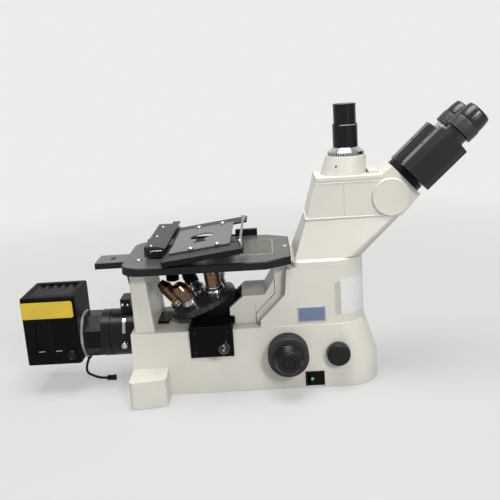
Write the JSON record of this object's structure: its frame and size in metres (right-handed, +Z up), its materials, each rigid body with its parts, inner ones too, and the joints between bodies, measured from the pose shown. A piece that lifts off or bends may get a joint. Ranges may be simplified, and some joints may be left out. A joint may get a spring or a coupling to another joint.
{
  "type": "inverted microscope",
  "caption": "Inverted laboratory microscope with trinocular head, mechanical stage, revolving nosepiece below the stage and a rear lamphouse.",
  "frame": {"origin": "on the bench under the middle of the stage plate, at the underside of the middle foot", "axes": "+X away from the side with the brightness knob, +Y to the rear where the lamphouse is, +Z up"},
  "size_m": [0.277, 0.6977, 0.4115],
  "materials": {
    "cream": "satin",
    "black_casting": "satin",
    "black_metal": "satin",
    "dark_grey": "satin",
    "grey_metal": "satin",
    "steel": "brushed",
    "chrome": "polished",
    "bronze": "satin",
    "black_plastic": "matte",
    "gloss_black": "gloss",
    "feet_rubber": "matte",
    "lens_glass": "clear",
    "cord_jacket": "matte"
  },
  "bodies": {
    "frame": {"base_casting": "cream", "base_plate": "steel", "rubber_feet": "feet_rubber", "rear_pillar": "cream", "front_tower": "cream", "tower_cap": "cream", "arm_cover": "cream", "stage_plate": "black_casting", "stage_insert": "black_metal", "illuminator_mount": "cream", "filter_box": "black_metal", "switch_bezel": "black_plastic", "power_supply": "dark_grey", "base_optics": "black_metal", "focus_guide": "black_metal", "head_neck": "cream", "head_block": "cream", "photo_port": "cream", "clamp_ring": "chrome", "camera_tube": "black_metal", "binocular_base": "black_metal", "stage_rail": "black_metal", "lamp_adapter": "black_metal", "lamp_collector_block": "black_casting", "lamphouse_shell": "black_casting", "vent_cover": "black_metal", "arc_lamp": "lens_glass", "lamp_cord": "cord_jacket", "cord_connector": "black_plastic"},
    "carriage": {"focus_carriage": "black_metal", "focus_rack": "steel", "turret_pivot": "steel"},
    "coarse": {"coarse_knobs": "black_plastic"},
    "fine": {"fine_knobs": "black_plastic"},
    "turret": {"turret_disc": "black_metal", "objective_1": "bronze", "objective_2": "bronze", "objective_3": "bronze", "objective_4": "bronze", "objective_5": "steel"},
    "filters": {"filter_slider": "black_metal"},
    "rocker": {"power_rocker": "gloss_black"},
    "dimmer": {"brightness_knob": "black_plastic"},
    "selector": {"path_selector": "black_metal"},
    "left_tube": {"left_prism_box": "black_metal", "left_eyepiece": "black_metal"},
    "right_tube": {"right_prism_box": "black_metal", "right_eyepiece": "black_metal"},
    "left_diopter": {"left_diopter_ring": "black_plastic"},
    "right_diopter": {"right_diopter_ring": "black_plastic"},
    "stage_cross": {"y_carriage": "black_metal", "x_beam": "grey_metal"},
    "specimen_holder": {"specimen_arms": "black_metal", "holder_plate": "black_metal", "clamp_screws": "steel"},
    "y_knob": {"y_drive_knob": "black_plastic"},
    "x_knob": {"x_drive_knob": "black_plastic"},
    "tray": {"filter_tray": "black_metal"},
    "adapter_screw": {"lamp_clamp_screw": "steel"},
    "lamp_adjuster": {"lamp_knob": "black_plastic"}
  },
  "joints": [
    {"name": "focus_slide", "type": "slide", "parent": "frame", "child": "carriage", "axis": [0, 0, 1], "range_m": [-0.0015, 0.007]},
    {"name": "coarse_turn", "type": "hinge", "parent": "frame", "child": "coarse", "pos_m": [0, -0.112, 0.062], "axis": [1, 0, 0], "range_deg": [-15, 68]},
    {"name": "fine_turn", "type": "hinge", "parent": "coarse", "child": "fine", "pos_m": [0, -0.112, 0.062], "axis": [1, 0, 0], "continuous": true},
    {"name": "turret_turn", "type": "hinge", "parent": "carriage", "child": "turret", "pos_m": [0, 0.018, 0.1355], "axis": [0, 0.3584, 0.9336], "continuous": true},
    {"name": "filter_push", "type": "slide", "parent": "frame", "child": "filters", "axis": [1, 0, 0], "range_m": [0, 0.028]},
    {"name": "power_rock", "type": "hinge", "parent": "frame", "child": "rocker", "pos_m": [-0.062, -0.1505, 0.0156], "axis": [0, 0, -1], "range_deg": [0, 14]},
    {"name": "dimmer_turn", "type": "hinge", "parent": "frame", "child": "dimmer", "pos_m": [-0.069, -0.186, 0.055], "axis": [1, 0, 0], "range_deg": [0, 270]},
    {"name": "path_select", "type": "slide", "parent": "frame", "child": "selector", "axis": [1, 0, 0], "range_m": [0, 0.014]},
    {"name": "left_ipd", "type": "hinge", "parent": "frame", "child": "left_tube", "pos_m": [0, -0.296, 0.2995], "axis": [0, -0.7337, 0.6794], "range_deg": [-28, 36]},
    {"name": "right_ipd", "type": "hinge", "parent": "frame", "child": "right_tube", "pos_m": [0, -0.296, 0.2995], "axis": [0, -0.7337, 0.6794], "range_deg": [-36, 28]},
    {"name": "left_diopter_turn", "type": "hinge", "parent": "left_tube", "child": "left_diopter", "pos_m": [-0.03287, -0.29795, 0.29739], "axis": [0, -0.7337, 0.6794], "range_deg": [-180, 180]},
    {"name": "right_diopter_turn", "type": "hinge", "parent": "right_tube", "child": "right_diopter", "pos_m": [0.03287, -0.29795, 0.29739], "axis": [0, -0.7337, 0.6794], "range_deg": [-180, 180]},
    {"name": "stage_y", "type": "slide", "parent": "frame", "child": "stage_cross", "axis": [0, 1, 0], "range_m": [-0.06, 0.01]},
    {"name": "stage_x", "type": "slide", "parent": "stage_cross", "child": "specimen_holder", "axis": [1, 0, 0], "range_m": [-0.03, 0.06]},
    {"name": "y_knob_turn", "type": "hinge", "parent": "stage_cross", "child": "y_knob", "pos_m": [0.116, 0.076, 0.16], "axis": [0, 0, 1], "range_deg": [-940, 157]},
    {"name": "x_knob_turn", "type": "hinge", "parent": "stage_cross", "child": "x_knob", "pos_m": [0.116, 0.076, 0.13], "axis": [0, 0, 1], "range_deg": [-470, 940]},
    {"name": "tray_lift", "type": "slide", "parent": "frame", "child": "tray", "axis": [0, 0, 1], "range_m": [0, 0.03]},
    {"name": "adapter_screw_turn", "type": "hinge", "parent": "frame", "child": "adapter_screw", "pos_m": [-0.0365, 0.135, 0.074], "axis": [-1, 0, 0], "continuous": true},
    {"name": "lamp_adjust", "type": "hinge", "parent": "frame", "child": "lamp_adjuster", "pos_m": [-0.044, 0.2157, 0.0657], "axis": [-1, 0, 0], "range_deg": [-90, 90]}
  ],
  "couplings": [
    {"joint": "coarse_turn", "follows": "focus_slide", "rad_per_m": 166.67},
    {"joint": "right_ipd", "follows": "left_ipd", "ratio": -1},
    {"joint": "y_knob_turn", "follows": "stage_y", "rad_per_m": 273},
    {"joint": "x_knob_turn", "follows": "stage_x", "rad_per_m": 273}
  ]
}
